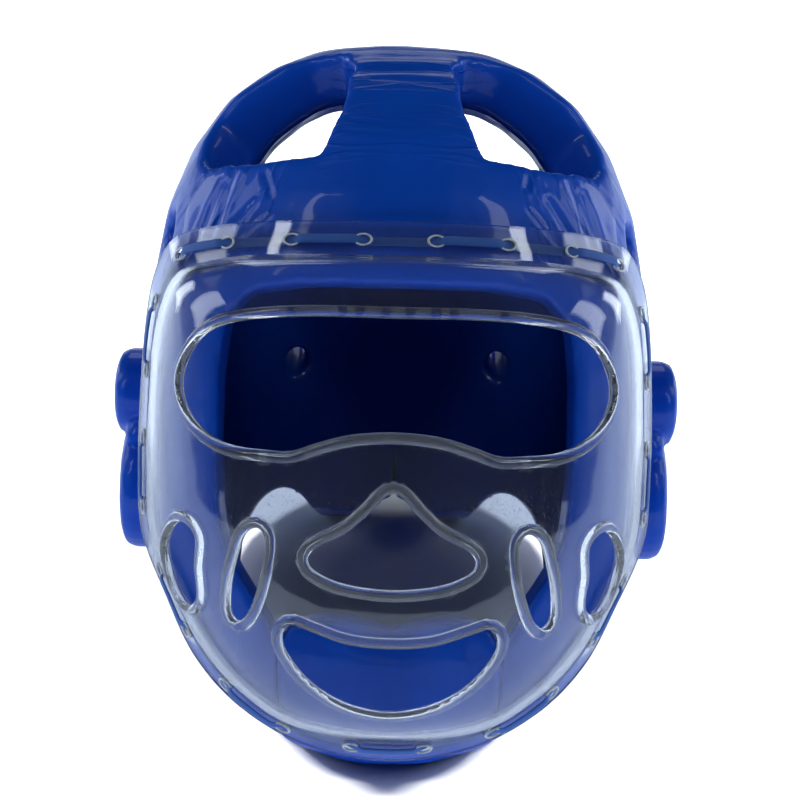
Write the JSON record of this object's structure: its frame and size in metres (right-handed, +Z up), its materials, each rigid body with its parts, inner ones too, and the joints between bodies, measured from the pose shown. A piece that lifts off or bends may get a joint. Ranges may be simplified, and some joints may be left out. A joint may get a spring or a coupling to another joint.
{
  "type": "taekwondo headgear with face shield",
  "caption": "Full head guard of dipped foam for sparring, with an open crown, ear pads, a chin pad and a clear vented face shield laced on all round.",
  "frame": {"origin": "middle of the bounding box, on the floor that the guard stands on by itself", "axes": "+X to the right seen from the front, -Y the way the face looks along the floor, +Z up; the guard leans back 28 degrees from upright"},
  "size_m": [0.241, 0.314, 0.2511],
  "materials": {
    "dipped_foam": "blue foam dipped in glossy vinyl, lightly creased",
    "clear_shield": "clear moulded polycarbonate, polished, with fine scratches",
    "lace_cord": "blue flat braided lace",
    "elastic_strap": "dark blue woven elastic"
  },
  "bodies": {
    "root": {"foam_shell": "dipped_foam", "chin_pad": "dipped_foam", "ear_pad_left": "dipped_foam", "ear_pad_right": "dipped_foam", "face_shield": "clear_shield", "lace": "lace_cord", "rear_strap": "elastic_strap"}
  },
  "joints": []
}
